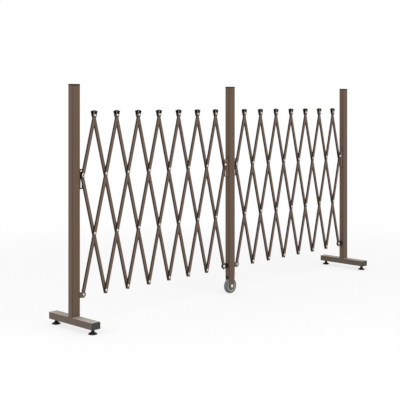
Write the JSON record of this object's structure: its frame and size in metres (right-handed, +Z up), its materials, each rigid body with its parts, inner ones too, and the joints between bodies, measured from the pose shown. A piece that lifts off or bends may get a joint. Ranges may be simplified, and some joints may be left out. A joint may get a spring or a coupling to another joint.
{
  "type": "expandable safety barrier",
  "caption": "Expandable scissor lattice barrier between three upright posts, with end stands on levelling feet and a wheel under the centre post.",
  "frame": {"origin": "on the floor under the middle of the centre post", "axes": "+X along the barrier to the right-hand stand, -Y to the front where the wheel bolt's head is, +Z up"},
  "size_m": [2.3326, 0.342, 1.2],
  "materials": {
    "powder_coat": "satin brown-grey powder coat",
    "bar_coat": "satin brown-grey powder coat",
    "black_cap": "black moulded plastic",
    "end_cap": "dark grey moulded plastic",
    "black_steel": "black coated steel",
    "black_foot": "black rubber",
    "zinc_steel": "bright zinc",
    "wheel_tyre": "grey rubber",
    "wheel_hub": "grey plastic"
  },
  "bodies": {
    "centre_post": {"centre_post": "powder_coat", "centre_post_cap": "black_cap", "centre_slide_brackets": "black_steel", "centre_pivot_brackets": "black_steel", "centre_bracket_screws": "black_steel", "wheel_axle": "zinc_steel"},
    "wheel": {"wheel_tyre": "wheel_tyre", "wheel_hub": "wheel_hub"},
    "left_stand": {"left_post": "powder_coat", "left_post_cap": "black_cap", "left_base_bar": "powder_coat", "left_base_end_caps": "end_cap", "left_slide_bracket": "black_steel", "left_pivot_bracket": "black_steel", "left_bracket_screws": "black_steel"},
    "left_front_foot": {"left_front_foot": "black_foot"},
    "left_rear_foot": {"left_rear_foot": "black_foot"},
    "left_front_bar_1": {"left_front_bar_1": "bar_coat"},
    "left_front_bar_2": {"left_front_bar_2": "bar_coat"},
    "left_front_bar_3": {"left_front_bar_3": "bar_coat"},
    "left_front_bar_4": {"left_front_bar_4": "bar_coat"},
    "left_front_bar_5": {"left_front_bar_5": "bar_coat"},
    "left_front_bar_6": {"left_front_bar_6": "bar_coat"},
    "left_front_bar_7": {"left_front_bar_7": "bar_coat"},
    "left_front_bar_8": {"left_front_bar_8": "bar_coat"},
    "left_back_bar_1": {"left_back_bar_1": "bar_coat"},
    "left_back_bar_2": {"left_back_bar_2": "bar_coat"},
    "left_back_bar_3": {"left_back_bar_3": "bar_coat"},
    "left_back_bar_4": {"left_back_bar_4": "bar_coat"},
    "left_back_bar_5": {"left_back_bar_5": "bar_coat"},
    "left_back_bar_6": {"left_back_bar_6": "bar_coat"},
    "left_back_bar_7": {"left_back_bar_7": "bar_coat"},
    "left_back_bar_8": {"left_back_bar_8": "bar_coat"},
    "right_stand": {"right_post": "powder_coat", "right_post_cap": "black_cap", "right_base_bar": "powder_coat", "right_base_end_caps": "end_cap", "right_slide_bracket": "black_steel", "right_pivot_bracket": "black_steel", "right_bracket_screws": "black_steel"},
    "right_front_foot": {"right_front_foot": "black_foot"},
    "right_rear_foot": {"right_rear_foot": "black_foot"},
    "right_front_bar_1": {"right_front_bar_1": "bar_coat"},
    "right_front_bar_2": {"right_front_bar_2": "bar_coat"},
    "right_front_bar_3": {"right_front_bar_3": "bar_coat"},
    "right_front_bar_4": {"right_front_bar_4": "bar_coat"},
    "right_front_bar_5": {"right_front_bar_5": "bar_coat"},
    "right_front_bar_6": {"right_front_bar_6": "bar_coat"},
    "right_front_bar_7": {"right_front_bar_7": "bar_coat"},
    "right_front_bar_8": {"right_front_bar_8": "bar_coat"},
    "right_back_bar_1": {"right_back_bar_1": "bar_coat"},
    "right_back_bar_2": {"right_back_bar_2": "bar_coat"},
    "right_back_bar_3": {"right_back_bar_3": "bar_coat"},
    "right_back_bar_4": {"right_back_bar_4": "bar_coat"},
    "right_back_bar_5": {"right_back_bar_5": "bar_coat"},
    "right_back_bar_6": {"right_back_bar_6": "bar_coat"},
    "right_back_bar_7": {"right_back_bar_7": "bar_coat"},
    "right_back_bar_8": {"right_back_bar_8": "bar_coat"}
  },
  "joints": [
    {"name": "left_panel_fold", "type": "hinge", "parent": "centre_post", "child": "left_back_bar_7", "pos_m": [-0.051, 0, 0.162], "axis": [0, 1, 0], "range_deg": [-14.9, 11.9]},
    {"name": "left_front_bar_8_fold", "type": "hinge", "parent": "left_back_bar_7", "child": "left_front_bar_8", "pos_m": [-0.12519, 0, 0.45629], "axis": [0, 1, 0], "range_deg": [-24.4, 30.4]},
    {"name": "left_front_bar_7_fold", "type": "hinge", "parent": "left_back_bar_7", "child": "left_front_bar_7", "pos_m": [-0.19939, 0, 0.75058], "axis": [0, 1, 0], "range_deg": [-24.4, 30.4]},
    {"name": "left_front_bar_6_fold", "type": "hinge", "parent": "left_back_bar_7", "child": "left_front_bar_6", "pos_m": [-0.27358, 0, 1.04487], "axis": [0, 1, 0], "range_deg": [-24.4, 30.4]},
    {"name": "left_back_bar_4_fold", "type": "hinge", "parent": "left_front_bar_6", "child": "left_back_bar_4", "pos_m": [-0.49616, 0, 0.162], "axis": [0, 1, 0], "range_deg": [-30.4, 24.4]},
    {"name": "left_back_bar_5_fold", "type": "hinge", "parent": "left_front_bar_6", "child": "left_back_bar_5", "pos_m": [-0.42197, 0, 0.45629], "axis": [0, 1, 0], "range_deg": [-30.4, 24.4]},
    {"name": "left_back_bar_6_fold", "type": "hinge", "parent": "left_front_bar_6", "child": "left_back_bar_6", "pos_m": [-0.34778, 0, 0.75058], "axis": [0, 1, 0], "range_deg": [-30.4, 24.4]},
    {"name": "left_front_bar_5_fold", "type": "hinge", "parent": "left_back_bar_4", "child": "left_front_bar_5", "pos_m": [-0.57036, 0, 0.45629], "axis": [0, 1, 0], "range_deg": [-24.4, 30.4]},
    {"name": "left_front_bar_4_fold", "type": "hinge", "parent": "left_back_bar_4", "child": "left_front_bar_4", "pos_m": [-0.64455, 0, 0.75058], "axis": [0, 1, 0], "range_deg": [-24.4, 30.4]},
    {"name": "left_front_bar_3_fold", "type": "hinge", "parent": "left_back_bar_4", "child": "left_front_bar_3", "pos_m": [-0.71875, 0, 1.04487], "axis": [0, 1, 0], "range_deg": [-24.4, 30.4]},
    {"name": "left_back_bar_1_fold", "type": "hinge", "parent": "left_front_bar_3", "child": "left_back_bar_1", "pos_m": [-0.94133, 0, 0.162], "axis": [0, 1, 0], "range_deg": [-30.4, 24.4]},
    {"name": "left_back_bar_2_fold", "type": "hinge", "parent": "left_front_bar_3", "child": "left_back_bar_2", "pos_m": [-0.86713, 0, 0.45629], "axis": [0, 1, 0], "range_deg": [-30.4, 24.4]},
    {"name": "left_back_bar_3_fold", "type": "hinge", "parent": "left_front_bar_3", "child": "left_back_bar_3", "pos_m": [-0.79294, 0, 0.75058], "axis": [0, 1, 0], "range_deg": [-30.4, 24.4]},
    {"name": "left_front_bar_2_fold", "type": "hinge", "parent": "left_back_bar_1", "child": "left_front_bar_2", "pos_m": [-1.01552, 0, 0.45629], "axis": [0, 1, 0], "range_deg": [-24.4, 30.4]},
    {"name": "left_front_bar_1_fold", "type": "hinge", "parent": "left_back_bar_2", "child": "left_front_bar_1", "pos_m": [-1.01552, 0, 1.04487], "axis": [0, 1, 0], "range_deg": [-24.4, 30.4]},
    {"name": "left_back_bar_8_fold", "type": "hinge", "parent": "left_front_bar_7", "child": "left_back_bar_8", "pos_m": [-0.12519, 0, 1.04487], "axis": [0, 1, 0], "range_deg": [-30.4, 24.4]},
    {"name": "left_stand_pivot", "type": "hinge", "parent": "left_front_bar_2", "child": "left_stand", "pos_m": [-1.08972, 0, 0.162], "axis": [0, 1, 0], "range_deg": [-15.5, 12.5]},
    {"name": "right_panel_fold", "type": "hinge", "parent": "centre_post", "child": "right_front_bar_2", "pos_m": [0.051, 0, 0.162], "axis": [0, -1, 0], "range_deg": [-14.9, 11.9]},
    {"name": "right_back_bar_1_fold", "type": "hinge", "parent": "right_front_bar_2", "child": "right_back_bar_1", "pos_m": [0.12519, 0, 0.45629], "axis": [0, 1, 0], "range_deg": [-30.4, 24.4]},
    {"name": "right_back_bar_2_fold", "type": "hinge", "parent": "right_front_bar_2", "child": "right_back_bar_2", "pos_m": [0.19939, 0, 0.75058], "axis": [0, 1, 0], "range_deg": [-30.4, 24.4]},
    {"name": "right_back_bar_3_fold", "type": "hinge", "parent": "right_front_bar_2", "child": "right_back_bar_3", "pos_m": [0.27358, 0, 1.04487], "axis": [0, 1, 0], "range_deg": [-30.4, 24.4]},
    {"name": "right_front_bar_5_fold", "type": "hinge", "parent": "right_back_bar_3", "child": "right_front_bar_5", "pos_m": [0.49616, 0, 0.162], "axis": [0, 1, 0], "range_deg": [-24.4, 30.4]},
    {"name": "right_front_bar_4_fold", "type": "hinge", "parent": "right_back_bar_3", "child": "right_front_bar_4", "pos_m": [0.42197, 0, 0.45629], "axis": [0, 1, 0], "range_deg": [-24.4, 30.4]},
    {"name": "right_front_bar_3_fold", "type": "hinge", "parent": "right_back_bar_3", "child": "right_front_bar_3", "pos_m": [0.34778, 0, 0.75058], "axis": [0, 1, 0], "range_deg": [-24.4, 30.4]},
    {"name": "right_back_bar_4_fold", "type": "hinge", "parent": "right_front_bar_5", "child": "right_back_bar_4", "pos_m": [0.57036, 0, 0.45629], "axis": [0, 1, 0], "range_deg": [-30.4, 24.4]},
    {"name": "right_back_bar_5_fold", "type": "hinge", "parent": "right_front_bar_5", "child": "right_back_bar_5", "pos_m": [0.64455, 0, 0.75058], "axis": [0, 1, 0], "range_deg": [-30.4, 24.4]},
    {"name": "right_back_bar_6_fold", "type": "hinge", "parent": "right_front_bar_5", "child": "right_back_bar_6", "pos_m": [0.71875, 0, 1.04487], "axis": [0, 1, 0], "range_deg": [-30.4, 24.4]},
    {"name": "right_front_bar_8_fold", "type": "hinge", "parent": "right_back_bar_6", "child": "right_front_bar_8", "pos_m": [0.94133, 0, 0.162], "axis": [0, 1, 0], "range_deg": [-24.4, 30.4]},
    {"name": "right_front_bar_7_fold", "type": "hinge", "parent": "right_back_bar_6", "child": "right_front_bar_7", "pos_m": [0.86713, 0, 0.45629], "axis": [0, 1, 0], "range_deg": [-24.4, 30.4]},
    {"name": "right_front_bar_6_fold", "type": "hinge", "parent": "right_back_bar_6", "child": "right_front_bar_6", "pos_m": [0.79294, 0, 0.75058], "axis": [0, 1, 0], "range_deg": [-24.4, 30.4]},
    {"name": "right_back_bar_7_fold", "type": "hinge", "parent": "right_front_bar_8", "child": "right_back_bar_7", "pos_m": [1.01552, 0, 0.45629], "axis": [0, 1, 0], "range_deg": [-30.4, 24.4]},
    {"name": "right_back_bar_8_fold", "type": "hinge", "parent": "right_front_bar_7", "child": "right_back_bar_8", "pos_m": [1.01552, 0, 1.04487], "axis": [0, 1, 0], "range_deg": [-30.4, 24.4]},
    {"name": "right_front_bar_1_fold", "type": "hinge", "parent": "right_back_bar_2", "child": "right_front_bar_1", "pos_m": [0.12519, 0, 1.04487], "axis": [0, 1, 0], "range_deg": [-24.4, 30.4]},
    {"name": "right_stand_pivot", "type": "hinge", "parent": "right_back_bar_7", "child": "right_stand", "pos_m": [1.08972, 0, 0.162], "axis": [0, 1, 0], "range_deg": [-12.5, 15.5]},
    {"name": "wheel_spin", "type": "hinge", "parent": "centre_post", "child": "wheel", "pos_m": [0, 0, 0.0425], "axis": [0, 1, 0], "continuous": true},
    {"name": "left_front_foot_height", "type": "slide", "parent": "left_stand", "child": "left_front_foot", "axis": [0, 0, 1], "range_m": [-0.012, 0.003]},
    {"name": "left_rear_foot_height", "type": "slide", "parent": "left_stand", "child": "left_rear_foot", "axis": [0, 0, 1], "range_m": [-0.012, 0.003]},
    {"name": "right_front_foot_height", "type": "slide", "parent": "right_stand", "child": "right_front_foot", "axis": [0, 0, 1], "range_m": [-0.012, 0.003]},
    {"name": "right_rear_foot_height", "type": "slide", "parent": "right_stand", "child": "right_rear_foot", "axis": [0, 0, 1], "range_m": [-0.012, 0.003]}
  ],
  "couplings": [
    {"joint": "left_front_bar_8_fold", "follows": "left_panel_fold", "ratio": -2},
    {"joint": "left_front_bar_7_fold", "follows": "left_panel_fold", "ratio": -2},
    {"joint": "left_front_bar_6_fold", "follows": "left_panel_fold", "ratio": -2},
    {"joint": "left_back_bar_4_fold", "follows": "left_panel_fold", "ratio": 2},
    {"joint": "left_back_bar_5_fold", "follows": "left_panel_fold", "ratio": 2},
    {"joint": "left_back_bar_6_fold", "follows": "left_panel_fold", "ratio": 2},
    {"joint": "left_front_bar_5_fold", "follows": "left_panel_fold", "ratio": -2},
    {"joint": "left_front_bar_4_fold", "follows": "left_panel_fold", "ratio": -2},
    {"joint": "left_front_bar_3_fold", "follows": "left_panel_fold", "ratio": -2},
    {"joint": "left_back_bar_1_fold", "follows": "left_panel_fold", "ratio": 2},
    {"joint": "left_back_bar_2_fold", "follows": "left_panel_fold", "ratio": 2},
    {"joint": "left_back_bar_3_fold", "follows": "left_panel_fold", "ratio": 2},
    {"joint": "left_front_bar_2_fold", "follows": "left_panel_fold", "ratio": -2},
    {"joint": "left_front_bar_1_fold", "follows": "left_panel_fold", "ratio": -2},
    {"joint": "left_back_bar_8_fold", "follows": "left_panel_fold", "ratio": 2},
    {"joint": "left_stand_pivot", "follows": "left_panel_fold", "ratio": 1},
    {"joint": "right_back_bar_1_fold", "follows": "right_panel_fold", "ratio": 2},
    {"joint": "right_back_bar_2_fold", "follows": "right_panel_fold", "ratio": 2},
    {"joint": "right_back_bar_3_fold", "follows": "right_panel_fold", "ratio": 2},
    {"joint": "right_front_bar_5_fold", "follows": "right_panel_fold", "ratio": -2},
    {"joint": "right_front_bar_4_fold", "follows": "right_panel_fold", "ratio": -2},
    {"joint": "right_front_bar_3_fold", "follows": "right_panel_fold", "ratio": -2},
    {"joint": "right_back_bar_4_fold", "follows": "right_panel_fold", "ratio": 2},
    {"joint": "right_back_bar_5_fold", "follows": "right_panel_fold", "ratio": 2},
    {"joint": "right_back_bar_6_fold", "follows": "right_panel_fold", "ratio": 2},
    {"joint": "right_front_bar_8_fold", "follows": "right_panel_fold", "ratio": -2},
    {"joint": "right_front_bar_7_fold", "follows": "right_panel_fold", "ratio": -2},
    {"joint": "right_front_bar_6_fold", "follows": "right_panel_fold", "ratio": -2},
    {"joint": "right_back_bar_7_fold", "follows": "right_panel_fold", "ratio": 2},
    {"joint": "right_back_bar_8_fold", "follows": "right_panel_fold", "ratio": 2},
    {"joint": "right_front_bar_1_fold", "follows": "right_panel_fold", "ratio": -2},
    {"joint": "right_stand_pivot", "follows": "right_panel_fold", "ratio": -1}
  ]
}
